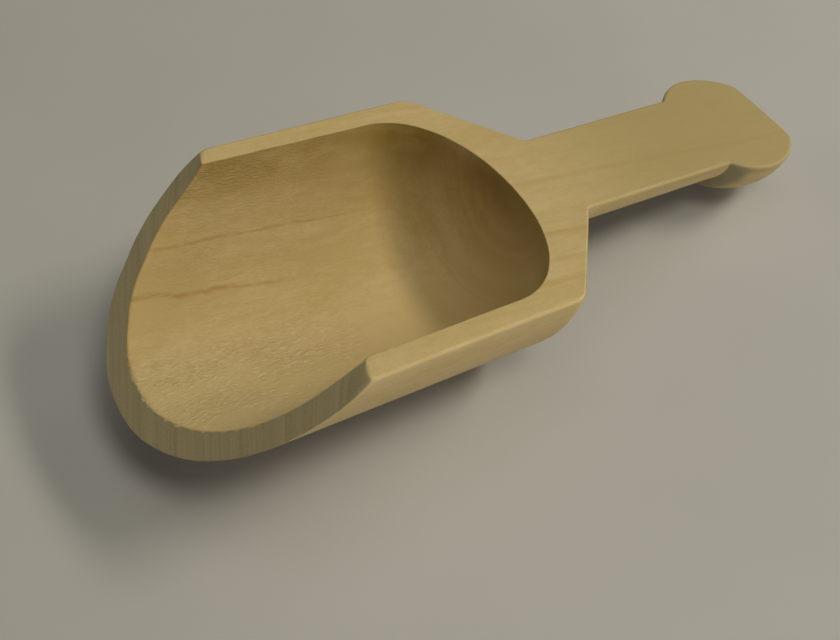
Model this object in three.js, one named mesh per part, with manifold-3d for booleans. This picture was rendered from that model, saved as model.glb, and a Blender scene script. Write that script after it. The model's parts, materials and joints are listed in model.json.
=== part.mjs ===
// A small wooden scoop: half of a lathe turning that was bored along its axis and then sawn in two lengthways.
// The saw cut is the flat top, so every section across the axis is a half circle or a half ring.
// Millimetres, +Z up, +X towards the knob. The scoop rests as it does on a table: its handle outweighs its bowl,
// so it leans back on the corner of its shoulder and on its knob. The origin is on the table, under its middle.

import * as THREE from "three";
import { mergeVertices, toCreasedNormals } from "three/addons/utils/BufferGeometryUtils.js";
import Module from "manifold-3d";

const wasm = await Module();
wasm.setup();

// Bowl: outside radius, wall at the rim, and length from the lip's lowest point to the corner of the shoulder
const BOWL_RADIUS = 15;
const BOWL_WALL = 2.2;
const BOWL_LENGTH = 37.3;

// Lip: the slanted saw cut that opens the bowl's front, as an angle to the axis
const LIP_ANGLE = THREE.MathUtils.degToRad(46.7);

// Hollow: how far the bore's rounded end reaches past the shoulder's corner, and how long that end is
const HOLLOW_PAST_CORNER = 2.6;
const HOLLOW_END_LENGTH = 9;

// Shoulder: the cone between bowl and stem, with its rounded corner and the fillet at the stem
const SHOULDER_LENGTH = 8.4;
const SHOULDER_ROUND = 2.4;
const STEM_FILLET = 0.5;

// Stem: from the shoulder to the notch in front of the knob
const STEM_RADIUS = 5.4;
const STEM_LENGTH = 19.9;

// Knob: a bead that swells from the notch, falls more slowly behind, and ends in a small flat face
const KNOB_RADIUS = 7.55;
const KNOB_RISE = 4.7;
const KNOB_FALL = 6.1;
const KNOB_END_RADIUS = 4.3;

// Fineness of the turned surfaces: flat facets in a full turn, and steps in one rounded stretch of a profile
const FACETS = 48;
const ARC_STEPS = 6;
const FACET_REACH = 1 / Math.cos(Math.PI / FACETS);

// Welding distance, crease angle of the shading, and how far a cutter runs past what it cuts
const WELD = 1e-4;
const CREASE = THREE.MathUtils.degToRad(30);
const CUTTER_SPARE = 5;

// Stations along the axis, from the lip's lowest point
const CORNER = BOWL_LENGTH;
const CONE_END = CORNER + SHOULDER_LENGTH;
const CONE_ANGLE = Math.atan2(BOWL_RADIUS - STEM_RADIUS, SHOULDER_LENGTH);
const ROUND_START = CORNER - SHOULDER_ROUND * Math.tan(CONE_ANGLE / 2);
const STEM_START = CONE_END + STEM_FILLET * Math.tan(CONE_ANGLE / 2);
const STEM_END = CONE_END + STEM_LENGTH;
const KNOB_PEAK = STEM_END + KNOB_RISE;
const KNOB_END = KNOB_PEAK + KNOB_FALL;
const TROUGH_END = CORNER + HOLLOW_PAST_CORNER - HOLLOW_END_LENGTH;
const HOLLOW_RADIUS = BOWL_RADIUS - BOWL_WALL;

// The arcs of the knob's profile, each level at the peak
const KNOB_FRONT_ARC = levelArc(KNOB_RISE, KNOB_RADIUS - STEM_RADIUS);
const KNOB_BACK_ARC = levelArc(KNOB_FALL, KNOB_RADIUS - KNOB_END_RADIUS);

// Rest: the lean at which the table touches both the rounded corner and the back of the knob
const REST_RUN = KNOB_PEAK - ROUND_START;
const REST_DROP = BOWL_RADIUS - SHOULDER_ROUND - (KNOB_RADIUS - KNOB_BACK_ARC);
const REST_LEAN =
  Math.atan2(REST_DROP, REST_RUN) - Math.asin((KNOB_BACK_ARC - SHOULDER_ROUND) / Math.hypot(REST_RUN, REST_DROP));
const REST_HEIGHT =
  ROUND_START * Math.sin(REST_LEAN) + (BOWL_RADIUS - SHOULDER_ROUND) * Math.cos(REST_LEAN) + SHOULDER_ROUND;
const REST_MIDDLE = (KNOB_END * Math.cos(REST_LEAN) - BOWL_RADIUS * Math.sin(REST_LEAN)) / 2;

const WOOD = new THREE.MeshStandardMaterial({ color: 0xc2a873, roughness: 0.75, metalness: 0 });

// The radius of the arc that climbs by rise over a run and is level at its top.
function levelArc(run, rise) {
  return (run * run + rise * rise) / (2 * rise);
}

// A closed three.js geometry as a solid that can be cut.
function solidOf(geometry) {
  geometry.deleteAttribute("normal");
  geometry.deleteAttribute("uv");
  const merged = mergeVertices(geometry, WELD);
  const corners = merged.index.array;
  const triVerts = [];
  for (let i = 0; i < corners.length; i += 3) {
    const [a, b, c] = corners.slice(i, i + 3);
    if (a !== b && b !== c && c !== a) triVerts.push(a, b, c);
  }
  return new wasm.Manifold(
    new wasm.Mesh({
      numProp: 3,
      vertProperties: merged.attributes.position.array,
      triVerts: new Uint32Array(triVerts),
    }),
  );
}

// A cut solid as a geometry, shaded smooth across facets and sharp at edges.
function geometryOf(solid) {
  const mesh = solid.getMesh();
  const geometry = new THREE.BufferGeometry();
  geometry.setAttribute("position", new THREE.BufferAttribute(mesh.vertProperties, mesh.numProp));
  geometry.setIndex(new THREE.BufferAttribute(mesh.triVerts, 1));
  return toCreasedNormals(geometry, CREASE);
}

// The solid that a profile of (radius, station) points sweeps in a full turn about X.
// The facets touch the true circle at their middles, and one of them faces straight down.
function turned(profile) {
  const points = profile.map((point) => new THREE.Vector2(point.x * FACET_REACH, point.y));
  const lathe = new THREE.LatheGeometry(points, FACETS, Math.PI / FACETS);
  lathe.rotateZ(-Math.PI / 2);
  return solidOf(lathe);
}

// A profile that runs out from the axis at its first station and back to the axis at its last.
function closedProfile(path) {
  const outline = path.getPoints(ARC_STEPS);
  const first = outline[0];
  const last = outline[outline.length - 1];
  return [new THREE.Vector2(0, first.y), ...outline, new THREE.Vector2(0, last.y)];
}

// A plain length of one radius between two stations.
function rod(radius, start, end) {
  const path = new THREE.Path();
  path.moveTo(radius, start);
  path.lineTo(radius, end);
  return turned(closedProfile(path));
}

// Everything above the flat top, which holds the axis.
function aboveTop() {
  const height = BOWL_RADIUS + CUTTER_SPARE;
  const box = new THREE.BoxGeometry(KNOB_END + 2 * CUTTER_SPARE, 2 * height, height);
  box.translate(KNOB_END / 2, 0, height / 2);
  return solidOf(box);
}

// Everything in front of the slanted lip, whose plane meets the belly at station zero.
function beyondLip() {
  const reach = 2 * (BOWL_LENGTH + BOWL_RADIUS);
  const box = new THREE.BoxGeometry(2 * reach, reach, reach);
  box.translate(0, 0, reach / 2);
  box.rotateY(-LIP_ANGLE);
  box.translate(0, 0, -BOWL_RADIUS);
  return solidOf(box);
}

// The bore: straight from beyond the lip, then an elliptical end that closes on the axis.
function hollow() {
  const path = new THREE.Path();
  path.moveTo(0, -CUTTER_SPARE);
  path.lineTo(HOLLOW_RADIUS, -CUTTER_SPARE);
  path.lineTo(HOLLOW_RADIUS, TROUGH_END);
  path.absellipse(0, TROUGH_END, HOLLOW_RADIUS, HOLLOW_END_LENGTH, 0, Math.PI / 2, false, 0);
  return turned(path.getPoints(ARC_STEPS));
}

// The half-round trough of the bowl, open at the lip.
function bowlTrough() {
  return rod(BOWL_RADIUS, 0, TROUGH_END).subtract(hollow()).subtract(beyondLip());
}

// The closed end of the bowl: the bore's round end inside, the rounded corner and the cone outside.
function bowlEnd() {
  const path = new THREE.Path();
  path.moveTo(BOWL_RADIUS, TROUGH_END);
  path.lineTo(BOWL_RADIUS, ROUND_START);
  path.absarc(BOWL_RADIUS - SHOULDER_ROUND, ROUND_START, SHOULDER_ROUND, 0, CONE_ANGLE, false);
  path.absarc(STEM_RADIUS + STEM_FILLET, STEM_START, STEM_FILLET, Math.PI + CONE_ANGLE, Math.PI, true);
  return turned(closedProfile(path)).subtract(hollow());
}

// The straight neck of the handle.
function handleStem() {
  return rod(STEM_RADIUS, STEM_START, STEM_END);
}

// The bead at the handle's end: one arc from the notch up to the peak, and a flatter one down to the end face.
function handleKnob() {
  const frontAngle = Math.asin(KNOB_RISE / KNOB_FRONT_ARC);
  const backAngle = Math.asin(KNOB_FALL / KNOB_BACK_ARC);
  const path = new THREE.Path();
  path.absarc(KNOB_RADIUS - KNOB_FRONT_ARC, KNOB_PEAK, KNOB_FRONT_ARC, -frontAngle, 0, false);
  path.absarc(KNOB_RADIUS - KNOB_BACK_ARC, KNOB_PEAK, KNOB_BACK_ARC, 0, backAngle, false);
  return turned(closedProfile(path));
}

// A section of the turning: what lies under the saw cut, as a named mesh.
function section(name, solid) {
  const mesh = new THREE.Mesh(geometryOf(solid.subtract(aboveTop())), WOOD);
  mesh.name = name;
  return mesh;
}

const turning = new THREE.Group();
turning.add(section("bowl_trough", bowlTrough()));
turning.add(section("bowl_end", bowlEnd()));
turning.add(section("handle_stem", handleStem()));
turning.add(section("handle_knob", handleKnob()));
turning.rotation.y = REST_LEAN;
turning.position.set(-REST_MIDDLE, 0, REST_HEIGHT);

const scoop = new THREE.Group();
scoop.add(turning);

export default scoop;
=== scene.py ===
import json
import math
from collections import namedtuple

import bpy
import numpy as np
from mathutils import Matrix, Vector


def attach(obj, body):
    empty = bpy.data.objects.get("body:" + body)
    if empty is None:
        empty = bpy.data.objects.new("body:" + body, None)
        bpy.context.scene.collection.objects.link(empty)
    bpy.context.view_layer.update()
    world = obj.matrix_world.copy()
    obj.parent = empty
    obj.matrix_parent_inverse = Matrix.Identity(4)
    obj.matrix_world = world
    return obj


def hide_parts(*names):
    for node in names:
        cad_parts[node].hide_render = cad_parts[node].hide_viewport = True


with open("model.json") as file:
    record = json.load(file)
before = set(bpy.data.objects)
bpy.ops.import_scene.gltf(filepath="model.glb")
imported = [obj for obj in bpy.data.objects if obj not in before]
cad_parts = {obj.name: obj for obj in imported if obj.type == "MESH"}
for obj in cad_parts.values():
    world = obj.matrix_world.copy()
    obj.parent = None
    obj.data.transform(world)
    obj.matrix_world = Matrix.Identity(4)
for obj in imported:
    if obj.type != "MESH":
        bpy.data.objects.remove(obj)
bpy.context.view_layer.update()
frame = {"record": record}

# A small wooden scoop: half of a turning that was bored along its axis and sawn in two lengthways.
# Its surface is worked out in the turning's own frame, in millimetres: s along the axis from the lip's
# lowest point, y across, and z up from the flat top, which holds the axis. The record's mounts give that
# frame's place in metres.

MM = 0.001

# Bowl and lip
BOWL_RADIUS = 15.0
BOWL_WALL = 2.28
BOWL_LENGTH = 37.3
LIP_RADIUS = 14.9
LIP_WALL = 1.97
LIP_ANGLE = math.radians(46.7)

# Hollow: how far its round end reaches past the shoulder's corner, how long that end is,
# and the power of its curve, which is 2 for an ellipse and more for a fuller corner
HOLLOW_PAST_CORNER = 2.6
HOLLOW_END_LENGTH = 8.85
HOLLOW_END_POWER = 2.1

# Shoulder and stem, which thickens a little towards the knob
SHOULDER_LENGTH = 8.4
SHOULDER_ROUND = 2.4
STEM_FILLET = 0.5
STEM_RADIUS = 5.32
STEM_KNOB_RADIUS = 5.48
STEM_LENGTH = 19.9

# Knob, with its rounded end corner, its slightly crowned end face and the rounded notch in front of it
KNOB_RADIUS = 7.55
KNOB_RISE = 4.7
KNOB_FALL = 6.1
KNOB_END_RADIUS = 4.3
KNOB_END_ROUND = 0.9
KNOB_END_CROWN = 0.15
NOTCH_ROUND = 0.35

# The handle isn't quite round towards the knob: its flanks are flatter there by this share of the radius
KNOB_FLATTER = 0.055

# Eased edges of the flat top: width of the easing along the rim and along the bore's edge
RIM_EASE = 0.36
BORE_EASE = 0.09

# Lip: rounding of its outer and inner edges, at the belly and at its two ends, and how far down an end's
# rounding reaches. The cut isn't quite flat: down to a depth its ends run on a little, and twist by
# millimetres along the axis for one across. The bowl's near side is a little fuller there.
LIP_ROUND_BELLY = 0.15
LIP_ROUND_FAR = 1.0
LIP_ROUND_NEAR = 1.4
LIP_INNER_ROUND = 0.06
LIP_INNER_ROUND_END = 0.3
LIP_ROUND_REACH = 3.0
LIP_INNER_ROUND_REACH = 1.8
LIP_FAR_TWIST = 0.45
LIP_FAR_SHIFT = 0.45
LIP_NEAR_TWIST = 0.6
LIP_NEAR_SHIFT = 0.1
LIP_TWIST_REACH = 3.0
LIP_FULLER = 0.35

# Marks of the tools: waver of the lip's saw cut, chips along its inner edge, and rings on the hollow's end.
# The chips are thickest on one stretch of the edge, round an angle of the turn and as wide as another.
LIP_WAVER = 0.06
LIP_WAVER_SPACING = 1.9
LIP_WAVER_SEED = 11
CHIP_DEPTH = 0.24
CHIP_SPACING = 0.4
CHIP_SEED = 23
CHIP_PATCH = 1.6
CHIP_PATCH_SHARE = 0.5
CHIP_PATCH_SEED = 29
CHIP_MIDDLE = math.radians(106)
CHIP_SPREAD = math.radians(48)
CHIP_ELSEWHERE = 0.25
RING_DEPTH = 0.012
RING_SPACING = 1.1
RING_SEED = 5
RING_FADE = 1.2

# Fineness: columns round the half turn, and row spacing along the profile
COLUMNS = 300
STEP = 0.26
LIP_STEP = 0.12
LEAST_STEPS = 6
EASE_STEPS = 6
EASE_SHARES = np.linspace(0, 1, EASE_STEPS + 1)[:-1]
CAP_STEPS = 14
APEX_RADIUS = 2.5
NOISE_KNOTS = 509

# Stations along the axis
CORNER = BOWL_LENGTH
CONE_END = CORNER + SHOULDER_LENGTH
CONE_ANGLE = math.atan2(BOWL_RADIUS - STEM_RADIUS, SHOULDER_LENGTH)
ROUND_START = CORNER - SHOULDER_ROUND * math.tan(CONE_ANGLE / 2)
STEM_START = CONE_END + STEM_FILLET * math.tan(CONE_ANGLE / 2)
KNOB_PEAK = CONE_END + STEM_LENGTH + KNOB_RISE
KNOB_END = KNOB_PEAK + KNOB_FALL
TROUGH_END = CORNER + HOLLOW_PAST_CORNER - HOLLOW_END_LENGTH
HOLLOW_RADIUS = BOWL_RADIUS - BOWL_WALL
LIP_BORE = LIP_RADIUS - LIP_WALL
LIP_MIDDLE = LIP_RADIUS - LIP_WALL / 2

# One row of the surface: its radius, the easing of its ends at the flat top, its place at an angle of the
# turn, and the part of the surface that it lies on. The marks are the parts where the wood looks different.
Row = namedtuple("Row", "radius ease place part")
MARKS = ("bore", "dome", "edge")

# Directions in the turning's frame
ALONG = np.array((1.0, 0.0, 0.0))
UP = np.array((0.0, 0.0, 1.0))


def value_noise(x, spacing, seed):
    """Smooth noise from -1 to 1 along one coordinate."""
    knots = np.random.default_rng(seed).uniform(-1, 1, NOISE_KNOTS)
    place = np.asarray(x, float) / spacing
    low = np.floor(place).astype(int)
    share = place - low
    share = share * share * (3 - 2 * share)
    return knots[low % NOISE_KNOTS] * (1 - share) + knots[(low + 1) % NOISE_KNOTS] * share


def bezier(first, corner, last, share):
    """A point on the quadratic curve that rounds a corner."""
    return first * (1 - share) ** 2 + corner * 2 * share * (1 - share) + last * share**2


def line(first, last):
    """Profile points from first to last, each a station and a radius."""
    length = math.dist(first, last)
    steps = max(LEAST_STEPS, math.ceil(length / STEP))
    return np.linspace(first, last, steps + 1)


def arc(centre, radius, start, end):
    """Profile points along an arc, with its angles measured from the axis."""
    steps = max(LEAST_STEPS, math.ceil(abs(end - start) * radius / STEP))
    angle = np.linspace(start, end, steps + 1)
    return np.stack([centre[0] + radius * np.cos(angle), centre[1] + radius * np.sin(angle)], 1)


def joined(*stretches):
    """One profile from stretches that meet end to end."""
    return np.concatenate([stretches[0], *[points[1:] for points in stretches[1:]]])


def level_arc(run, rise):
    """The radius of the arc that climbs by rise over a run and is level at its top."""
    return (run * run + rise * rise) / (2 * rise)


def knob_profile():
    """From the rim of the end face, over the bead, into the notch."""
    back = level_arc(KNOB_FALL, KNOB_RADIUS - KNOB_END_RADIUS)
    front = level_arc(KNOB_RISE, KNOB_RADIUS - STEM_KNOB_RADIUS)
    back_axis = KNOB_RADIUS - back
    front_axis = KNOB_RADIUS - front
    end_run = KNOB_END - KNOB_END_CROWN - KNOB_END_ROUND - KNOB_PEAK
    end_rise = math.sqrt((back - KNOB_END_ROUND) ** 2 - end_run**2)
    end_turn = math.atan2(end_rise, end_run)
    notch_rise = STEM_KNOB_RADIUS + NOTCH_ROUND - front_axis
    notch_run = math.sqrt((front + NOTCH_ROUND) ** 2 - notch_rise**2)
    notch_turn = math.atan2(notch_rise, -notch_run)
    end_centre = (KNOB_PEAK + end_run, back_axis + end_rise)
    notch_centre = (KNOB_PEAK - notch_run, front_axis + notch_rise)
    return joined(
        arc(end_centre, KNOB_END_ROUND, 0, end_turn),
        arc((KNOB_PEAK, back_axis), back, end_turn, math.pi / 2),
        arc((KNOB_PEAK, front_axis), front, math.pi / 2, notch_turn),
        arc(notch_centre, NOTCH_ROUND, notch_turn - math.pi, -math.pi / 2),
    )


def shoulder_profile():
    """From the stem, up the cone, over the rounded corner and along the bowl."""
    fillet = arc(
        (STEM_START, STEM_RADIUS + STEM_FILLET), STEM_FILLET, -math.pi / 2, -math.pi / 2 - CONE_ANGLE
    )
    corner = arc(
        (ROUND_START, BOWL_RADIUS - SHOULDER_ROUND), SHOULDER_ROUND, math.pi / 2 - CONE_ANGLE, math.pi / 2
    )
    return joined(
        fillet,
        line(fillet[-1], corner[0]),
        corner,
        line((ROUND_START, BOWL_RADIUS), (TROUGH_END, BOWL_RADIUS)),
    )


def dome_reach(radius):
    """How far the hollow's round end reaches past the trough at a radius, as a share of its length."""
    return np.clip(1 - (radius / HOLLOW_RADIUS) ** HOLLOW_END_POWER, 0, 1) ** (1 / HOLLOW_END_POWER)


def dome_ring(radius):
    """Depth of the cutter's faint rings, which fade out towards the trough."""
    along = HOLLOW_RADIUS * np.arccos(np.clip(radius / HOLLOW_RADIUS, 0, 1))
    return RING_DEPTH * value_noise(along, RING_SPACING, RING_SEED) * np.clip(along / RING_FADE, 0, 1)


def dome_station(radius):
    """Station of the hollow's round end close to the axis."""
    return TROUGH_END + HOLLOW_END_LENGTH * dome_reach(radius) + dome_ring(radius)


def dome_profile():
    """From the trough's end to the last ring round the axis."""
    last = math.acos(APEX_RADIUS / HOLLOW_RADIUS)
    steps = math.ceil(HOLLOW_RADIUS * last / STEP)
    radius = HOLLOW_RADIUS * np.cos(np.linspace(0, last, steps + 1))
    station = TROUGH_END + HOLLOW_END_LENGTH * dome_reach(radius)
    slope_along = dome_reach(radius) / HOLLOW_END_LENGTH
    slope_out = radius / HOLLOW_RADIUS**2
    push = dome_ring(radius) / np.hypot(slope_along, slope_out)
    return np.stack([station + push * slope_along, radius + push * slope_out], 1)


def near_top(depth, reach):
    """One at the flat top, falling to zero at a depth below it."""
    return np.clip(1 - depth / reach, 0, 1) ** 2


def lip_station(radius, turn):
    """Station of the lip's slanted cut at a radius and an angle of the turn."""
    depth = radius * np.sin(turn)
    level = (BOWL_RADIUS - depth) / math.tan(LIP_ANGLE)
    waver = LIP_WAVER * value_noise(turn * LIP_RADIUS, LIP_WAVER_SPACING, LIP_WAVER_SEED)
    across = radius - LIP_MIDDLE
    far = LIP_FAR_TWIST * across - LIP_FAR_SHIFT
    near = -LIP_NEAR_TWIST * across - LIP_NEAR_SHIFT
    return level + waver + np.where(np.cos(turn) > 0, far, near) * near_top(depth, LIP_TWIST_REACH)


def lip_radius(turn):
    """Outer radius at the lip."""
    return LIP_RADIUS + LIP_FULLER * np.clip(-np.cos(turn), 0, 1)


def lip_round(turn):
    """How far the lip's outer edge is rounded: most at its two ends."""
    at_end = near_top(LIP_RADIUS * np.sin(turn), LIP_ROUND_REACH)
    at_top = np.where(np.cos(turn) > 0, LIP_ROUND_FAR, LIP_ROUND_NEAR)
    return LIP_ROUND_BELLY + (at_top - LIP_ROUND_BELLY) * at_end


def lip_chip(turn):
    """How far the lip's inner edge is broken away or rounded."""
    along = turn * LIP_BORE
    patches = CHIP_PATCH_SHARE * value_noise(along, CHIP_PATCH, CHIP_PATCH_SEED)
    chips = value_noise(along, CHIP_SPACING, CHIP_SEED) + patches
    often = np.maximum(CHIP_ELSEWHERE, 1 - ((turn - CHIP_MIDDLE) / CHIP_SPREAD) ** 2)
    at_end = near_top(LIP_BORE * np.sin(turn), LIP_INNER_ROUND_REACH)
    chipped = CHIP_DEPTH * np.clip(chips, 0, 1) * often * (1 - at_end)
    return LIP_INNER_ROUND + LIP_INNER_ROUND_END * at_end + chipped


def plain_rows(profile, ease, part):
    """Rows that go straight round the axis."""
    rows = []
    for station, radius in profile:
        place = lambda turn, s=station, r=radius: (np.full_like(turn, s), np.full_like(turn, r))
        rows.append(Row(radius, ease, place, part))
    return rows


def wall_place(share, first, last, edge):
    """Place of a row on the bowl's wall, from the trough's end at share 0 to the lip's edge at share 1."""

    def place(turn):
        return TROUGH_END + (edge(turn) - TROUGH_END) * share, first + (last(turn) - first) * share

    return place


def outer_edge_place(share):
    """Place of a row on the rounding between the bowl's outside and the lip's cut."""

    def place(turn):
        width = lip_round(turn)
        outer = lip_radius(turn)
        inner = outer - width
        at_edge = lip_station(outer, turn)
        station = bezier(at_edge + width, at_edge, lip_station(inner, turn), share)
        return station, bezier(outer, outer, inner, share)

    return place


def cut_place(share):
    """Place of a row on the lip's cut, from its outer rounding to its inner edge."""

    def place(turn):
        outer = lip_radius(turn) - lip_round(turn)
        radius = outer + (LIP_BORE + lip_chip(turn) - outer) * share
        return lip_station(radius, turn), radius

    return place


def inner_edge_place(share):
    """Place of a row on the small rounding between the lip's cut and the bore."""

    def place(turn):
        width = lip_chip(turn)
        at_edge = lip_station(LIP_BORE, turn)
        station = bezier(lip_station(LIP_BORE + width, turn), at_edge, at_edge + width, share)
        return station, bezier(LIP_BORE + width, LIP_BORE, LIP_BORE, share)

    return place


def trough_rows():
    """Rows of the open trough: along the outside to the lip, across its cut, and back along the bore."""
    wall_steps = math.ceil(TROUGH_END / STEP)
    cut_steps = math.ceil(LIP_WALL / LIP_STEP)
    walls = np.linspace(0, 1, wall_steps + 1)
    edges = np.linspace(0, 1, EASE_STEPS + 1)[1:]
    outside_edge = lambda turn: lip_station(lip_radius(turn), turn) + lip_round(turn)
    bore_radius = lambda turn: np.full_like(turn, LIP_BORE)
    bore_edge = lambda turn: lip_station(LIP_BORE, turn) + lip_chip(turn)
    rows = []
    for share in walls[1:]:
        radius = BOWL_RADIUS + (LIP_RADIUS - BOWL_RADIUS) * share
        place = wall_place(share, BOWL_RADIUS, lip_radius, outside_edge)
        rows.append(Row(radius, RIM_EASE, place, "outside"))
    for share in edges:
        rows.append(Row(LIP_RADIUS, RIM_EASE, outer_edge_place(share), "cut"))
    for share in np.linspace(0, 1, cut_steps + 1)[1:]:
        ease = RIM_EASE + (BORE_EASE - RIM_EASE) * share
        rows.append(Row(LIP_RADIUS - LIP_WALL * share, ease, cut_place(share), "cut"))
    for share in edges:
        rows.append(Row(LIP_BORE, BORE_EASE, inner_edge_place(share), "edge"))
    for share in walls[-2::-1]:
        radius = HOLLOW_RADIUS + (LIP_BORE - HOLLOW_RADIUS) * share
        place = wall_place(share, HOLLOW_RADIUS, bore_radius, bore_edge)
        rows.append(Row(radius, BORE_EASE, place, "bore"))
    return rows


def flank_share(station, turn):
    """The handle's radius as a share of a round one's: least half way down its flanks."""
    towards_knob = np.clip((station - STEM_START) / (KNOB_PEAK - STEM_START), 0, 1)
    return 1 - KNOB_FLATTER * towards_knob * np.sin(2 * turn) ** 2


class Surface:
    """The skin of the whole turning: a grid of rows and columns, and an eased edge round the flat top."""

    def __init__(self):
        knob_line = knob_profile()
        stem_line = line((knob_line[-1][0], STEM_KNOB_RADIUS), (STEM_START, STEM_RADIUS))
        knob = plain_rows(knob_line, RIM_EASE, "outside")
        stem = plain_rows(stem_line[1:], RIM_EASE, "outside")
        shoulder = plain_rows(shoulder_profile()[1:], RIM_EASE, "outside")
        trough = trough_rows()
        dome = plain_rows(dome_profile()[1:], BORE_EASE, "dome")
        self.rows = [*knob, *stem, *shoulder, *trough, *dome]
        self.count = len(self.rows)
        self.stem_end = len(knob) - 1
        self.stem_start = self.stem_end + len(stem)
        self.outside_split = self.stem_start + len(shoulder)
        self.bore_split = self.outside_split + len(trough)
        self.make_grid()
        self.make_loop()
        self.make_easing()
        self.make_marks()

    def make_grid(self):
        """Points of the swept rows, and of the squashed rows that close the knob and the hollow's end."""
        share = np.linspace(0, 1, COLUMNS + 1)
        swept = []
        corners = []
        for row in self.rows:
            first = row.ease / row.radius
            turn = first + share * (math.pi - 2 * first)
            station, radius = row.place(turn)
            radius = radius * flank_share(station, turn)
            swept.append(np.stack([station, radius * np.cos(turn), -radius * np.sin(turn)], 1))
            station, radius = row.place(np.array([0.0, math.pi]))
            corners.append(np.stack([station, radius * (1, -1), np.zeros(2)], 1))
        self.far_corners = np.array([pair[0] for pair in corners])
        self.near_corners = np.array([pair[1] for pair in corners])
        knob_rim = self.rows[0].radius
        crown = lambda r: KNOB_END - KNOB_END_CROWN * (r / knob_rim) ** 2
        knob_cap = self.cap(swept[0], self.rows[0].ease, crown)
        apex_cap = self.cap(swept[-1], self.rows[-1].ease, dome_station)
        self.knob_edge = self.cap_edge(swept[0], crown)
        self.apex_edge = self.cap_edge(swept[-1], dome_station)
        self.grid = np.array([*knob_cap[::-1], *swept, *apex_cap])

    def cap(self, rim, ease, station):
        """Rows from a rim up to a level line just under the flat top, so that none shrinks to a point."""
        rows = []
        for step in range(1, CAP_STEPS + 1):
            share = step / CAP_STEPS
            z = rim[:, 2] + (-ease - rim[:, 2]) * share
            rows.append(np.stack([station(np.hypot(rim[:, 1], z)), rim[:, 1], z], 1))
        return rows

    def cap_edge(self, rim, station):
        """The corner line where a cap meets the flat top."""
        inner = rim[1:-1]
        return np.stack([station(np.abs(inner[:, 1])), inner[:, 1], np.zeros(len(inner))], 1)

    def vertex(self, row, column):
        """Number of a grid point. A cap's rows share their two end points with the rim that they close."""
        main = np.clip(row, CAP_STEPS, CAP_STEPS + self.count - 1)
        at_end = (column == 0) | (column == COLUMNS)
        return np.where(at_end, main, row) * (COLUMNS + 1) + column

    def make_loop(self):
        """The edge of the flat top: a closed loop from the knob's end along the far side, and back."""
        rows = np.arange(CAP_STEPS, CAP_STEPS + self.count)
        columns = np.arange(1, COLUMNS)
        last = CAP_STEPS + self.count - 1 + CAP_STEPS
        ease = np.array([row.ease for row in self.rows])
        self.corner = np.concatenate(
            [self.knob_edge[::-1], self.far_corners, self.apex_edge, self.near_corners[::-1]]
        )
        self.width = np.concatenate(
            [np.full(len(columns), ease[0]), ease, np.full(len(columns), ease[-1]), ease[::-1]]
        )
        self.skirt = np.concatenate(
            [
                self.vertex(0 * columns, columns[::-1]),
                self.vertex(rows, 0 * rows),
                self.vertex(0 * columns + last, columns),
                self.vertex(rows[::-1], 0 * rows + COLUMNS),
            ]
        )
        self.loop_row = np.concatenate([0 * columns, rows, 0 * columns + last, rows[::-1]])
        self.loop = len(self.corner)
        self.first_far = len(columns)
        self.first_near = self.loop - self.count

    def make_easing(self):
        """Points of the grid, and of the eased edge that leads from the flat top down to it."""
        along = np.roll(self.corner, -1, axis=0) - np.roll(self.corner, 1, axis=0)
        outward = np.stack([along[:, 1], -along[:, 0], 0 * along[:, 0]], 1)
        outward /= np.linalg.norm(outward, axis=1, keepdims=True)
        top = self.corner - outward * self.width[:, None]
        on_grid = self.grid.reshape(-1, 3)
        easing = [bezier(top, self.corner, on_grid[self.skirt], share) for share in EASE_SHARES]
        self.points = np.concatenate([on_grid, *easing])

    def make_marks(self):
        """For each mark, one at the points on its part, falling to zero over the eased edge."""
        self.marks = {}
        for mark in MARKS:
            on_row = np.array([float(row.part == mark) for row in self.rows])
            on_grid = np.pad(on_row, CAP_STEPS, mode="edge")
            eased = np.repeat(EASE_SHARES, self.loop) * np.tile(on_grid[self.loop_row], EASE_STEPS)
            self.marks[mark] = np.concatenate([np.repeat(on_grid, COLUMNS + 1), eased])

    def eased(self, step, place):
        """Number of a point on the eased edge, from 0 on the flat top to the last step on the grid."""
        place = np.asarray(place) % self.loop
        own = self.grid.shape[0] * (COLUMNS + 1) + step * self.loop + place
        return np.where(step < EASE_STEPS, own, self.skirt[place])

    def far(self, row):
        """Place on the loop of a row's far end."""
        return self.first_far + row

    def near(self, row):
        """Place on the loop of a row's near end."""
        return self.first_near + self.count - 1 - row

    def grid_faces(self, first, last):
        """Faces between two rows of the whole grid, caps included."""
        row, column = np.meshgrid(np.arange(first, last), np.arange(COLUMNS), indexing="ij")
        corners = [
            self.vertex(row, column),
            self.vertex(row, column + 1),
            self.vertex(row + 1, column + 1),
            self.vertex(row + 1, column),
        ]
        quads = np.stack([corner.ravel() for corner in corners], 1)
        return [tidy_face(quad) for quad in quads.tolist()]

    def ease_faces(self, first, last):
        """Faces of the eased edge between two places on the loop."""
        place, step = np.meshgrid(np.arange(first, last), np.arange(EASE_STEPS), indexing="ij")
        corners = [
            self.eased(step, place),
            self.eased(step + 1, place),
            self.eased(step + 1, place + 1),
            self.eased(step, place + 1),
        ]
        quads = np.stack([corner.ravel() for corner in corners], 1)
        return [tidy_face(quad) for quad in quads.tolist()]

    def top_face(self, *stretches):
        """One face of the flat top, round the given stretches of the loop."""
        return [int(v) for first, last in stretches for v in self.eased(0, np.arange(first, last + 1))]

    def section(self, row):
        """The outline of a cut across the axis at a row, from the far side to the near side."""
        steps = np.arange(EASE_STEPS)
        columns = np.arange(COLUMNS + 1)
        return [
            *self.eased(steps, self.far(row)).tolist(),
            *self.vertex(0 * columns + CAP_STEPS + row, columns).tolist(),
            *self.eased(steps, self.near(row))[::-1].tolist(),
        ]


def tidy_face(corners):
    """A face without repeated corners."""
    return [v for i, v in enumerate(corners) if v != corners[i - 1]]


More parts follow.
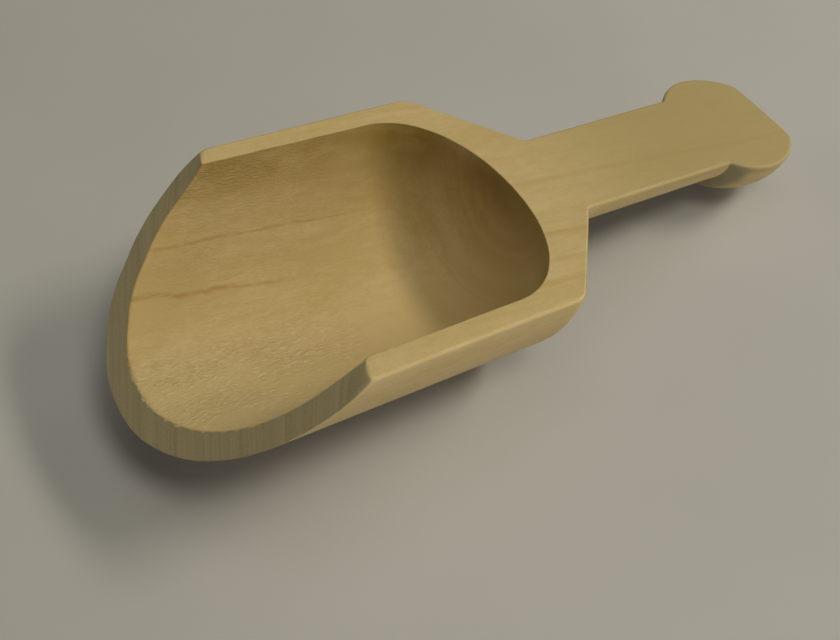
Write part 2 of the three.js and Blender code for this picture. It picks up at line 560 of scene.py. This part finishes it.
Section = namedtuple("Section", "name node skin top cuts")


def sections(skin):
    """The turning's four sections: the faces that show, the flat top's faces, and the cuts between them."""
    base = CAP_STEPS
    last = skin.grid.shape[0] - 1
    end, start, outside, bore = skin.stem_end, skin.stem_start, skin.outside_split, skin.bore_split
    knob_loop = (skin.near(end), skin.loop + skin.far(end))
    dome_loop = (skin.far(bore), skin.near(bore))
    sides = lambda first, last: [(skin.far(first), skin.far(last)), (skin.near(last), skin.near(first))]
    ring = [*skin.section(outside), *skin.section(bore)[::-1]]
    stem_sides = sides(end, start)
    shoulder_far, shoulder_near = sides(start, outside)
    trough_far, trough_near = sides(outside, bore)
    eased = lambda stretches: [face for stretch in stretches for face in skin.ease_faces(*stretch)]
    return [
        Section(
            "scoop_knob",
            "handle_knob",
            skin.grid_faces(0, base + end) + eased([knob_loop]),
            [skin.top_face(knob_loop)],
            [skin.section(end)],
        ),
        Section(
            "scoop_stem",
            "handle_stem",
            skin.grid_faces(base + end, base + start) + eased(stem_sides),
            [skin.top_face(*stem_sides)],
            [skin.section(end)[::-1], skin.section(start)],
        ),
        Section(
            "scoop_bowl_end",
            "bowl_end",
            skin.grid_faces(base + start, base + outside)
            + skin.grid_faces(base + bore, last)
            + eased([shoulder_far, dome_loop, shoulder_near]),
            [skin.top_face(shoulder_far, dome_loop, shoulder_near)],
            [skin.section(start)[::-1], ring],
        ),
        Section(
            "scoop_bowl_trough",
            "bowl_trough",
            skin.grid_faces(base + outside, base + bore) + eased([trough_far, trough_near]),
            [skin.top_face(trough_far), skin.top_face(trough_near)],
            [ring[::-1]],
        ),
    ]


def rest_matrix():
    """From the turning's frame in millimetres to the shared frame in metres, by the record's mounts."""
    mounts = {mount["name"]: mount for mount in frame["record"]["mounts"]}
    up = Vector(mounts["handle_flat"]["axis"]).normalized()
    along = Vector(mounts["knob_end"]["axis"]).normalized()
    knob_end = Vector(mounts["knob_end"]["pos_m"])
    on_top = Vector(mounts["handle_flat"]["pos_m"])
    origin = knob_end - up * (knob_end - on_top).dot(up) - along * KNOB_END * MM
    axes = Matrix((along, up.cross(along), up)).transposed()
    return Matrix.Translation(origin) @ axes.to_4x4() @ Matrix.Scale(MM, 4)


def corner_normals(skin, section, normals):
    """A normal for each corner of a section's faces: the skin's own, or a square one on its top and cuts."""
    shaded = [normals[np.concatenate(section.skin)]]
    shaded += [np.tile(UP, (len(face), 1)) for face in section.top]
    for face in section.cuts:
        faces_knob = skin.points[face[EASE_STEPS]][1] < 0
        shaded.append(np.tile(ALONG if faces_knob else -ALONG, (len(face), 1)))
    return np.concatenate(shaded)


def make_mesh(skin, section, normals):
    """A section of the skin as a closed mesh, shaded as the whole skin is."""
    faces = [*section.skin, *section.top, *section.cuts]
    used, local = np.unique(np.concatenate(faces), return_inverse=True)
    ends = np.cumsum([len(face) for face in faces])
    placed = rest_matrix()
    points = skin.points[used] @ np.array(placed.to_3x3()).T + np.array(placed.translation)
    mesh = bpy.data.meshes.new(section.name)
    mesh.from_pydata(points.tolist(), [], [corners.tolist() for corners in np.split(local, ends[:-1])])
    mesh.shade_smooth()
    turned = corner_normals(skin, section, normals) @ np.array(placed.to_3x3().normalized()).T
    mesh.normals_split_custom_set(turned.tolist())
    for mark in MARKS:
        add_mark(mesh, mark, skin.marks[mark][used])
    return mesh


def make_piece(skin, section, normals, material):
    """A section of the skin as an object that replaces its node."""
    mesh = make_mesh(skin, section, normals)
    mesh.materials.append(material)
    piece = bpy.data.objects.new(section.name, mesh)
    bpy.context.scene.collection.objects.link(piece)
    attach(piece, "root")
    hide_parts(section.node)


def add_mark(mesh, name, values):
    """A number on each point, which the material reads."""
    attribute = mesh.attributes.new(name, "FLOAT", "POINT")
    attribute.data.foreach_set("value", values.astype(np.float32))


def skin_normals(skin, parts):
    """Normals of the whole skin, so that no seam shows where its sections meet."""
    mesh = bpy.data.meshes.new("skin")
    faces = [face for section in parts for face in [*section.skin, *section.top]]
    mesh.from_pydata(skin.points.tolist(), [], faces)
    normals = np.empty(len(mesh.vertices) * 3, np.float32)
    mesh.vertex_normals.foreach_get("vector", normals)
    bpy.data.meshes.remove(mesh)
    normals = normals.reshape(-1, 3)
    first = skin.grid.shape[0] * (COLUMNS + 1)
    normals[first : first + skin.loop] = UP
    return normals


class Nodes:
    """Adds nodes to one tree. An input given as a socket is linked, and any other value is set."""

    def __init__(self, tree):
        self.tree = tree
        tree.nodes.clear()

    def add(self, kind, inputs=(), **settings):
        """A node with its settings and inputs."""
        node = self.tree.nodes.new(kind)
        for name, value in settings.items():
            setattr(node, name, value)
        for key, value in dict(inputs).items():
            if isinstance(value, bpy.types.NodeSocket):
                self.tree.links.new(value, node.inputs[key])
            else:
                node.inputs[key].default_value = value
        return node

    def math(self, operation, *values):
        """The result of one operation on numbers."""
        return self.add("ShaderNodeMath", dict(enumerate(values)), operation=operation).outputs[0]

    def total(self, first, *others):
        """Several values added up."""
        for other in others:
            first = self.math("ADD", first, other)
        return first

    def product(self, first, *others):
        """Several values multiplied."""
        for other in others:
            first = self.math("MULTIPLY", first, other)
        return first

    def dot(self, vector, direction):
        """How far a vector reaches in a direction."""
        inputs = {0: vector, 1: direction}
        return self.add("ShaderNodeVectorMath", inputs, operation="DOT_PRODUCT").outputs["Value"]

    def stretched(self, vector, scale):
        """A place with each coordinate scaled."""
        return self.add("ShaderNodeVectorMath", {0: vector, 1: scale}, operation="MULTIPLY").outputs[0]

    def noise(self, vector, scale, detail, roughness):
        """Noise in space, alike in every direction."""
        inputs = {"Vector": vector, "Scale": scale, "Detail": detail, "Roughness": roughness}
        return self.add("ShaderNodeTexNoise", inputs).outputs[0]

    def pattern(self, vector, pattern):
        """Noise in space, drawn out in some directions."""
        return self.noise(self.stretched(vector, pattern.stretch), 1.0, pattern.detail, pattern.roughness)

    def noise_along(self, value, scale, detail, roughness):
        """Noise along one coordinate."""
        inputs = {"W": value, "Scale": scale, "Detail": detail, "Roughness": roughness}
        return self.add("ShaderNodeTexNoise", inputs, noise_dimensions="1D").outputs[0]

    def fade(self, value, start, end, first=0.0, last=1.0):
        """A smooth change of the result from first to last, while the value goes from start to end."""
        inputs = {0: value, 1: start, 2: end, 3: first, 4: last}
        return self.add("ShaderNodeMapRange", inputs, interpolation_type="SMOOTHSTEP").outputs[0]

    def mix(self, factor, first, second):
        """A colour between two others."""
        inputs = {0: factor, 6: first, 7: second}
        return self.add("ShaderNodeMix", inputs, data_type="RGBA").outputs[2]


def colour(red, green, blue):
    """A colour written as on a screen, from 0 to 255, made linear by the sRGB curve."""
    shares = [value / 255 for value in (red, green, blue)]
    linear = [x / 12.92 if x <= 0.04045 else ((x + 0.055) / 1.055) ** 2.4 for x in shares]
    return (*linear, 1.0)


# Wood: pale side grain, its deeper growth and late lines, the far wall of the hollow, darker by a stain and
# by painted shade, painted shade on the handle's top towards the knob, fibres that the cutter raised, paler
# and with a painted highlight, and the greyer end grain
WOOD_PALE = colour(188, 164, 114)
WOOD_DEEP = colour(174, 148, 92)
WOOD_LINE = colour(154, 120, 48)
WOOD_WALL_STAIN_AND_SHADE = colour(130, 103, 36)
WOOD_KNOB_SHADE = colour(155, 136, 87)
WOOD_RAISED_HIGHLIT = colour(206, 186, 140)
WOOD_END = colour(154, 139, 101)
WOOD_END_DEEP = colour(125, 112, 79)
BLACK = (0.0, 0.0, 0.0, 1.0)

# Noise: cycles in a millimetre, detail and roughness. A pattern is drawn out: its cycles differ along the
# scoop, across it and down. The rings run with the angle up the hollow's end, so theirs are in a radian.
Noise = namedtuple("Noise", "scale detail roughness")
Pattern = namedtuple("Pattern", "stretch detail roughness")
GROWTH = Noise(1.05, 3.0, 0.6)
FINE_GROWTH = Noise(3.6, 3.0, 0.7)
PORES = Noise(5.0, 3.0, 0.6)
RINGS = Noise(0.55 * HOLLOW_RADIUS, 2.0, 0.5)
LINE_SWAY = Noise(0.16, 3.0, 0.5)
LINE_GAPS = Pattern((0.7, 2.5, 2.5), 3.0, 0.5)
LAYER_SWAY = Pattern((0.07, 0.1, 0.1), 2.0, 0.5)
FIBRES = Pattern((0.3, 3.6, 3.6), 4.0, 0.6)
CLOUDS = Pattern((0.05, 0.2, 0.2), 2.0, 0.5)
MOTTLE = Pattern((0.5, 1.1, 1.1), 3.0, 0.6)
SPECKS = Pattern((2.6, 7.0, 7.0), 2.0, 0.5)
BLOTCHES = Pattern((0.25, 0.6, 0.6), 3.0, 0.5)
PATCHES = Pattern((0.12, 0.3, 0.3), 2.0, 0.5)
STROKES = Pattern((1.5, 6.5, 6.5), 2.0, 0.6)
DASHES = Pattern((1.3, 5.5, 5.5), 1.0, 0.5)

# The values between which most of a noise lies
NOISE_RANGE = (0.3, 0.7)
WIDE_RANGE = (0.2, 0.8)

# Tone: what each pattern adds to the depth of the side grain's and the end grain's colour, from low to high
GROWTH_TONE = (0.0, 0.35)
FIBRE_TONE = (0.0, 0.2)
CLOUD_TONE = (-0.2, 0.25)
MOTTLE_TONE = (-0.15, 0.2)
SPECK_TONE = (-0.12, 0.16)
TEAR_TONE = 0.75
END_GROWTH_TONE = (0.05, 0.45)
END_FINE_TONE = (-0.02, 0.22)
END_PORE_TONE = (-0.05, 0.2)

# Every fade below gives two values to go between, and the results there where these aren't 0 and 1.
# The hollow's tone, which deepens towards the far side and again at the lip. Across the hollow this is
# partly the wood's own paler near floor, and partly painted light on the near side and painted shade on the
# far side
HOLLOW_TONE_LIGHT_AND_SHADE = (-6.0, 8.0, -0.8, 0.35)
LIP_TONE_ALONG = (16.0, 6.0, 0.0, 0.45)
LIP_TONE_ACROSS = (4.0, 8.0)

# Stain and painted shade: the flat top, with painted shade darkening it along the handle, the hollow's far
# wall, stained and in painted shade, and painted shade on the rim of the hollow's end
TOP_HEIGHT = (-1.5, -0.3)
KNOB_SHADE_ALONG = (36.0, 62.0, 0.0, 0.8)
WALL_HEIGHT = (-7.0, -1.0)
WALL_ACROSS = (6.0, 11.0)
WALL_BLOTCHES = (0.35, 0.65, 0.45, 0.71)
# Towards the hollow's end the far wall's darkening is painted shade, where the shadow of the flat top's edge
# begins
WALL_SHADE_ALONG = (29.0, 34.0, 0.0, 0.3)
RIM_SHADE_HEIGHT = (-4.5, -0.3, 0.0, 0.65)
RIM_SHADE_ACROSS = (8.0, 2.0)
DOME_ALONG = (TROUGH_END, TROUGH_END + 4.0)
RING_TONE = (0.35, 0.7, 0.0, 0.16)

# Torn wood in the bore: most on the near half of its floor, less on its far wall, in patches, with raised
# fibres on the near side, paler and with a painted highlight, and a darker edge at the lip
ROUGH_ACROSS = (5.0, -1.0)
ROUGH_ALONG = (30.0, 12.0)
ROUGH_WALL = 0.5
ROUGH_PATCHES = (0.35, 0.6, 0.4, 0.9)
ROUGH_LEAST = 0.15
ROUGH_END = (TROUGH_END, TROUGH_END - 8.0)
TEAR_RANGE = (-1.0, 1.0)
RAISED_DASHES = (0.53, 0.67)
RAISED_ACROSS = (6.0, 1.0)
RAISED_HIGHLIGHT_SHARE = 0.8
EDGE_SHARE = 0.25

# Finish: what tears, raised fibres and plain fibres add to the relief, the relief's depth in metres, the
# roughness over the fibres, the shine, and how square to the fibres a surface is where end grain sets in
TEAR_RELIEF = -0.6
RAISED_RELIEF = 0.8
FIBRE_RELIEF = 0.2
RELIEF_DEPTH = 0.00006
WOOD_ROUGHNESS = (0.55, 0.72)
WOOD_SPECULAR = 0.3
END_FACING = (0.34, 0.54)

# Growth layers: the way they face across the scoop, their drift along it at the flat top and from a depth
# down, how far they sway, and the turn of the fibres
LAYER_FACING = (0.0, -0.435, 0.9)
LAYER_DRIFT_TOP = -0.045
LAYER_DRIFT_LOW = 0.033
LAYER_DRIFT_DEPTH = -7.0
LAYER_SWAY_REACH = 0.08
FIBRE_TURN = math.radians(4.5)

# Late lines that stand out. On the flat top: place across the layers, width and strength. On the bore's
# floor: place across the scoop at the lip, drift towards the near side, sway, width, strength, and where it
# has faded out, over a length.
TOP_LINES = ((-1.85, 0.1, 0.4), (1.25, 0.1, 0.55), (2.63, 0.1, 0.4), (3.72, 0.1, 0.5))
FLOOR_LINES = ((11.29, 0.055, 0.1, 0.16, 0.85, 36.0), (9.12, 0.148, 0.3, 0.36, 1.15, 27.0))
LINE_SPAN = 16.0
LINE_TAIL = 2.5
LINE_FADE = 14.0
LINE_SWAY_RANGE = (0.25, 0.75)
LINE_GAP_RANGE = (0.35, 0.6, 0.3, 1.0)
LINE_SHARE = 0.62


def late_lines(nodes, across, lines):
    """Thin lines of late growth: each sets in sharply and fades out slowly."""
    share = nodes.add("ShaderNodeMapRange", {0: across, 1: -LINE_SPAN, 2: LINE_SPAN}).outputs[0]
    ramp = nodes.add("ShaderNodeValToRGB", {0: share})
    stops = ramp.color_ramp.elements
    for place, width, strength in lines:
        for offset, level in ((-width, 0), (0, strength), (LINE_TAIL * width, 0)):
            stop = stops.new((place + offset + LINE_SPAN) / (2 * LINE_SPAN))
            stop.color = (level, level, level, 1)
    for index in (0, len(stops) - 1):
        stops[index].color = BLACK
    return ramp.outputs[0]


class Grain:
    """The coordinates, parts and patterns of the wood, in the turning's frame in millimetres."""

    def __init__(self, nodes):
        self.nodes = nodes
        placed = rest_matrix()
        self.place = nodes.add(
            "ShaderNodeMapping",
            {
                "Vector": nodes.add("ShaderNodeTexCoord").outputs["Object"],
                "Location": placed.translation,
                "Rotation": placed.to_euler(),
                "Scale": placed.to_scale(),
            },
            vector_type="TEXTURE",
        ).outputs[0]
        split = nodes.add("ShaderNodeSeparateXYZ", {0: self.place}).outputs
        self.along, self.across, self.height = split
        turned = {"Vector": self.place, "Rotation": (0, 0, FIBRE_TURN)}
        self.fibre_place = nodes.add("ShaderNodeMapping", turned).outputs[0]
        self.axis = placed.to_3x3().normalized().col[0]
        self.dome = self.mark("dome")
        self.edge = self.mark("edge")
        self.bore = nodes.total(self.mark("bore"), self.edge)
        self.hollow = nodes.total(self.bore, self.dome)
        self.far_wall = nodes.product(
            nodes.fade(self.height, *WALL_HEIGHT), nodes.fade(self.across, *WALL_ACROSS)
        )
        self.layer = self.layers()
        self.growth = nodes.noise_along(self.layer, *GROWTH)
        self.fibres = nodes.pattern(self.fibre_place, FIBRES)

    def mark(self, name):
        """A number that the mesh holds at each point."""
        return self.nodes.add("ShaderNodeAttribute", attribute_name=name).outputs["Fac"]

    def layers(self):
        """Place across the growth layers, which sway a little."""
        nodes = self.nodes
        plain = nodes.dot(self.place, LAYER_FACING)
        drift = nodes.fade(self.height, LAYER_DRIFT_DEPTH, 0.0, LAYER_DRIFT_LOW, LAYER_DRIFT_TOP)
        drifted = nodes.math("MULTIPLY_ADD", self.along, drift, plain)
        sway = nodes.pattern(self.place, LAYER_SWAY)
        return nodes.total(drifted, nodes.fade(sway, *WIDE_RANGE, -LAYER_SWAY_REACH, LAYER_SWAY_REACH))

    def cut_across(self):
        """One where the surface cuts across the fibres, outside the hollow."""
        nodes = self.nodes
        normal = nodes.add("ShaderNodeNewGeometry").outputs["Normal"]
        square = nodes.math("ABSOLUTE", nodes.dot(normal, self.axis))
        outside = nodes.math("SUBTRACT", 1.0, self.hollow)
        return nodes.product(nodes.fade(square, *END_FACING), outside)

    def rings(self):
        """Rings that the cutter left on the hollow's end, darkest where it dwelt."""
        nodes = self.nodes
        flat = nodes.stretched(self.place, (0, 1, 1))
        radius = nodes.add("ShaderNodeVectorMath", {0: flat}, operation="LENGTH").outputs["Value"]
        turn = nodes.math("ARCCOSINE", nodes.math("DIVIDE", radius, HOLLOW_RADIUS))
        return nodes.noise_along(turn, *RINGS)

    def floor_line(self, place, drift, sway, width, strength, last):
        """A late line on the bore's floor, which sways, breaks up and fades out towards its last station."""
        nodes = self.nodes
        swayed = nodes.fade(nodes.noise_along(self.along, *LINE_SWAY), *LINE_SWAY_RANGE, -sway, sway)
        offset = nodes.math("SUBTRACT", nodes.math("MULTIPLY_ADD", self.along, drift, self.across), place)
        distance = nodes.math("ABSOLUTE", nodes.total(offset, swayed))
        shown = nodes.fade(self.along, last, last - LINE_FADE, 0.0, strength)
        broken = nodes.fade(nodes.pattern(self.place, LINE_GAPS), *LINE_GAP_RANGE)
        return nodes.product(nodes.fade(distance, width, 0.0), nodes.product(shown, broken))

    def roughness(self):
        """How far the cutter roughened the bore."""
        nodes = self.nodes
        floor = nodes.product(nodes.fade(self.across, *ROUGH_ACROSS), nodes.fade(self.along, *ROUGH_ALONG))
        where = nodes.math("MAXIMUM", floor, nodes.product(self.far_wall, ROUGH_WALL))
        patches = nodes.fade(nodes.pattern(self.place, PATCHES), *ROUGH_PATCHES)
        rough = nodes.math("MULTIPLY_ADD", where, patches, ROUGH_LEAST)
        return nodes.product(rough, nodes.fade(self.along, *ROUGH_END))


def torn_fibres(nodes, grain):
    """Strokes that the cutter tore in the bore, darker above zero and lighter below, and raised fibres,
    whose lighter colour is partly a painted highlight.
    """
    rough = grain.roughness()
    strokes = nodes.pattern(grain.fibre_place, STROKES)
    tears = nodes.product(nodes.fade(strokes, *NOISE_RANGE, *TEAR_RANGE), rough, grain.bore)
    dashes = nodes.pattern(grain.fibre_place, DASHES)
    where = nodes.product(grain.bore, nodes.fade(grain.across, *RAISED_ACROSS))
    raised = nodes.product(nodes.fade(dashes, *RAISED_DASHES), rough, where)
    return tears, raised


def side_tone(nodes, grain, tears):
    """How deep the side grain's colour is, with painted light and shade across the hollow."""
    clouds = nodes.pattern(grain.place, CLOUDS)
    mottle = nodes.pattern(grain.place, MOTTLE)
    specks = nodes.pattern(grain.fibre_place, SPECKS)
    plain = nodes.total(
        nodes.fade(grain.growth, *NOISE_RANGE, *GROWTH_TONE),
        nodes.fade(grain.fibres, *NOISE_RANGE, *FIBRE_TONE),
        nodes.fade(clouds, *NOISE_RANGE, *CLOUD_TONE),
        nodes.fade(mottle, *NOISE_RANGE, *MOTTLE_TONE),
        nodes.fade(specks, *NOISE_RANGE, *SPECK_TONE),
        nodes.product(tears, TEAR_TONE),
    )
    # Paler near side of the hollow: partly the wood's own, partly painted light; its deeper far side is
    # partly painted shade
    across = nodes.fade(grain.across, *HOLLOW_TONE_LIGHT_AND_SHADE)
    near_lip = nodes.fade(grain.along, *LIP_TONE_ALONG)
    at_lip = nodes.product(near_lip, nodes.fade(grain.across, *LIP_TONE_ACROSS))
    return nodes.math("MULTIPLY_ADD", nodes.total(across, at_lip), grain.hollow, plain)


def late_growth(nodes, grain, on_top):
    """Strength of the late lines on the flat top and on the bore's floor."""
    lines = nodes.product(late_lines(nodes, grain.layer, TOP_LINES), on_top)
    for floor_line in FLOOR_LINES:
        lines = nodes.total(lines, nodes.product(grain.floor_line(*floor_line), grain.bore))
    before_dome = nodes.math("SUBTRACT", 1.0, grain.dome)
    return nodes.product(lines, before_dome, LINE_SHARE)


def hollow_stain_and_shade(nodes, grain, deep):
    """How dark the hollow's far wall is, by a stain and by painted shade, and the painted shade on the rim
    of its end.
    """
    blotches = nodes.fade(nodes.pattern(grain.place, BLOTCHES), *WALL_BLOTCHES)
    strength = nodes.total(blotches, nodes.fade(grain.along, *WALL_SHADE_ALONG))
    wall_stain_and_shade = nodes.product(grain.far_wall, grain.hollow, strength)
    # Painted shade on the rim of the hollow's end
    high = nodes.fade(grain.height, *RIM_SHADE_HEIGHT)
    rim = nodes.product(high, nodes.fade(grain.across, *RIM_SHADE_ACROSS), deep)
    return nodes.math("MAXIMUM", wall_stain_and_shade, rim)


def side_grain(nodes, grain, tears):
    """Colour of the wood along its fibres."""
    on_top = nodes.fade(grain.height, *TOP_HEIGHT)
    # Painted shade: the flat top darkens towards the knob, where the light falls off
    knob_shade = nodes.product(nodes.fade(grain.along, *KNOB_SHADE_ALONG), on_top)
    deep = nodes.product(grain.dome, nodes.fade(grain.along, *DOME_ALONG))
    ringed = nodes.product(nodes.fade(grain.rings(), *RING_TONE), deep)
    side = nodes.mix(side_tone(nodes, grain, tears), WOOD_PALE, WOOD_DEEP)
    side = nodes.mix(knob_shade, side, WOOD_KNOB_SHADE)
    side = nodes.mix(late_growth(nodes, grain, on_top), side, WOOD_LINE)
    # Painted shade, partly a stain, on the hollow's far wall and the rim of its end
    side = nodes.mix(hollow_stain_and_shade(nodes, grain, deep), side, WOOD_WALL_STAIN_AND_SHADE)
    return nodes.mix(ringed, side, WOOD_LINE)


def end_grain(nodes, grain):
    """Colour of the wood across its fibres, with the growth layers as streaks and the pores as dots."""
    fine = nodes.noise_along(grain.layer, *FINE_GROWTH)
    pores = nodes.noise(grain.place, *PORES)
    tone = nodes.total(
        nodes.fade(grain.growth, *NOISE_RANGE, *END_GROWTH_TONE),
        nodes.fade(fine, *NOISE_RANGE, *END_FINE_TONE),
        nodes.fade(pores, *NOISE_RANGE, *END_PORE_TONE),
    )
    return nodes.mix(tone, WOOD_END, WOOD_END_DEEP)


def wood_material():
    """Unfinished pale wood with its fibres along the turning's axis."""
    material = bpy.data.materials.new("wood")
    material.use_nodes = True
    nodes = Nodes(material.node_tree)
    grain = Grain(nodes)
    tears, raised = torn_fibres(nodes, grain)
    side = side_grain(nodes, grain, tears)
    # Raised fibres: paler, and lighter still as a painted highlight
    side = nodes.mix(nodes.product(raised, RAISED_HIGHLIGHT_SHARE), side, WOOD_RAISED_HIGHLIT)
    side = nodes.mix(nodes.product(grain.edge, EDGE_SHARE), side, WOOD_LINE)
    wood = nodes.mix(grain.cut_across(), side, end_grain(nodes, grain))

    relief = nodes.math("MULTIPLY_ADD", tears, TEAR_RELIEF, nodes.product(grain.fibres, FIBRE_RELIEF))
    relief = nodes.math("MULTIPLY_ADD", raised, RAISED_RELIEF, relief)
    bump = nodes.add("ShaderNodeBump", {"Height": relief, "Strength": 1.0, "Distance": RELIEF_DEPTH})
    shader = nodes.add(
        "ShaderNodeBsdfPrincipled",
        {
            "Base Color": wood,
            "Roughness": nodes.fade(grain.fibres, *WIDE_RANGE, *WOOD_ROUGHNESS),
            "Normal": bump.outputs[0],
            "Specular IOR Level": WOOD_SPECULAR,
        },
    )
    nodes.add("ShaderNodeOutputMaterial", {"Surface": shader.outputs[0]})
    return material


# Stage: a plain pale table with a faint mottle, both in metres, and what shows past it
FLOOR_SIZE = 4.0
FLOOR_COLOUR = colour(175, 172, 167)
FLOOR_MOTTLE = Noise(60.0, 2.0, 0.5)
FLOOR_MOTTLE_TONE = (0.0, 0.02)
FLOOR_ROUGHNESS = 0.6
FLOOR_SPECULAR = 0.2
BACKDROP_COLOUR = colour(190, 187, 180)

# Light: soft lamps that face the bowl, each with its bearing in degrees as seen from there, its distance,
# width and height in metres, and the brightness that it gives a white surface facing it there. The room
# adds an even fill.
Lamp = namedtuple("Lamp", "name azimuth elevation distance width height level colour")
LAMPS = (
    Lamp("key", -19, 42.6, 0.6, 0.22, 0.11, 0.4, (1.0, 0.96, 0.83)),
    Lamp("key_spread", -24, 42, 0.6, 0.55, 0.16, 0.08, (1.0, 0.96, 0.83)),
    Lamp("overhead", -73, 66.5, 1.0, 0.33, 0.3, 0.27, (1.0, 0.97, 0.86)),
    Lamp("top", 46, 80, 2.0, 1.4, 1.2, 0.1, (1.0, 1.0, 0.88)),
    Lamp("near_fill", -74, 7, 2.0, 1.9, 0.46, 0.38, (0.91, 0.94, 1.0)),
    Lamp("far_fill", 140, 9, 2.0, 1.3, 0.56, 0.23, (0.95, 1.0, 0.95)),
    Lamp("knob_fill", 10, 16, 2.0, 0.5, 0.46, 0.11, (0.85, 1.0, 1.0)),
)
LAMP_AIM = Vector((-0.015, 0.0, 0.012))
FILL_COLOUR = (1.0, 0.84, 0.72, 1.0)
FILL_LEVEL = 0.02

# Camera: its place as seen from what it aims at, in degrees and metres, and its lens
CAMERA_AIM = Vector((-0.011437, -0.006434, 0.010))
CAMERA_AZIMUTH = -36.649
CAMERA_ELEVATION = 52.877
CAMERA_ROLL = 3.901
CAMERA_DISTANCE = 0.118765
CAMERA_LENS = 55.124
CAMERA_SENSOR = 36.0
CAMERA_NEAR = 0.005


def make_floor():
    """A large plain table top."""
    half = FLOOR_SIZE / 2
    mesh = bpy.data.meshes.new("floor")
    corners = [(-half, -half, 0), (half, -half, 0), (half, half, 0), (-half, half, 0)]
    mesh.from_pydata(corners, [], [(0, 1, 2, 3)])
    material = bpy.data.materials.new("floor")
    material.use_nodes = True
    nodes = Nodes(material.node_tree)
    place = nodes.add("ShaderNodeTexCoord").outputs["Object"]
    mottle = nodes.noise(place, *FLOOR_MOTTLE)
    shade = nodes.mix(nodes.fade(mottle, *NOISE_RANGE, *FLOOR_MOTTLE_TONE), FLOOR_COLOUR, BLACK)
    shader = nodes.add(
        "ShaderNodeBsdfPrincipled",
        {"Base Color": shade, "Roughness": FLOOR_ROUGHNESS, "Specular IOR Level": FLOOR_SPECULAR},
    )
    nodes.add("ShaderNodeOutputMaterial", {"Surface": shader.outputs[0]})
    mesh.materials.append(material)
    floor = bpy.data.objects.new("floor", mesh)
    bpy.context.scene.collection.objects.link(floor)


def bearing(azimuth, elevation):
    """The direction at an azimuth from +X towards +Y and an elevation, in degrees."""
    turn, rise = math.radians(azimuth), math.radians(elevation)
    return Vector((math.cos(turn) * math.cos(rise), math.sin(turn) * math.cos(rise), math.sin(rise)))


def make_lamp(lamp):
    """A soft lamp that faces the scoop. Its power follows from the brightness that it gives."""
    light = bpy.data.lights.new(lamp.name, "AREA")
    light.shape = "ELLIPSE"
    light.size = lamp.width
    light.size_y = lamp.height
    light.energy = lamp.level * math.pi**2 * (lamp.distance**2 + lamp.width * lamp.height / 4)
    light.color = lamp.colour
    holder = bpy.data.objects.new(lamp.name, light)
    way = bearing(lamp.azimuth, lamp.elevation)
    holder.location = LAMP_AIM + way * lamp.distance
    holder.rotation_euler = way.to_track_quat("Z", "Y").to_euler()
    holder.visible_camera = False
    bpy.context.scene.collection.objects.link(holder)


def make_room():
    """An even fill from all round, and a plain backdrop."""
    world = bpy.data.worlds.new("room")
    world.use_nodes = True
    nodes = Nodes(world.node_tree)
    fill = nodes.add("ShaderNodeBackground", {"Color": FILL_COLOUR, "Strength": FILL_LEVEL})
    backdrop = nodes.add("ShaderNodeBackground", {"Color": BACKDROP_COLOUR, "Strength": 1.0})
    seen = nodes.add("ShaderNodeLightPath").outputs["Is Camera Ray"]
    both = nodes.add("ShaderNodeMixShader", {0: seen, 1: fill.outputs[0], 2: backdrop.outputs[0]})
    nodes.add("ShaderNodeOutputWorld", {"Surface": both.outputs[0]})
    bpy.context.scene.world = world


def make_camera():
    """The camera, above the lip's near side and looking towards the knob."""
    azimuth, elevation, roll = (math.radians(a) for a in (CAMERA_AZIMUTH, CAMERA_ELEVATION, CAMERA_ROLL))
    level = math.cos(elevation)
    back = Vector((math.sin(azimuth) * level, -math.cos(azimuth) * level, math.sin(elevation)))
    right = Vector((math.cos(azimuth), math.sin(azimuth), 0))
    axes = Matrix((right, back.cross(right), back)).transposed()
    lens = bpy.data.cameras.new("camera")
    lens.lens = CAMERA_LENS
    lens.sensor_width = CAMERA_SENSOR
    lens.clip_start = CAMERA_NEAR
    camera = bpy.data.objects.new("camera", lens)
    camera.matrix_world = (
        Matrix.Translation(CAMERA_AIM + back * CAMERA_DISTANCE)
        @ axes.to_4x4()
        @ Matrix.Rotation(roll, 4, "Z")
    )
    bpy.context.scene.collection.objects.link(camera)
    bpy.context.scene.camera = camera


def make_scoop():
    """The four sections of the scoop in one wood."""
    skin = Surface()
    parts = sections(skin)
    normals = skin_normals(skin, parts)
    wood = wood_material()
    for section in parts:
        make_piece(skin, section, normals, wood)


make_camera()
make_floor()
make_room()
for lamp in LAMPS:
    make_lamp(lamp)
make_scoop()
bpy.context.scene.view_settings.view_transform = "Standard"
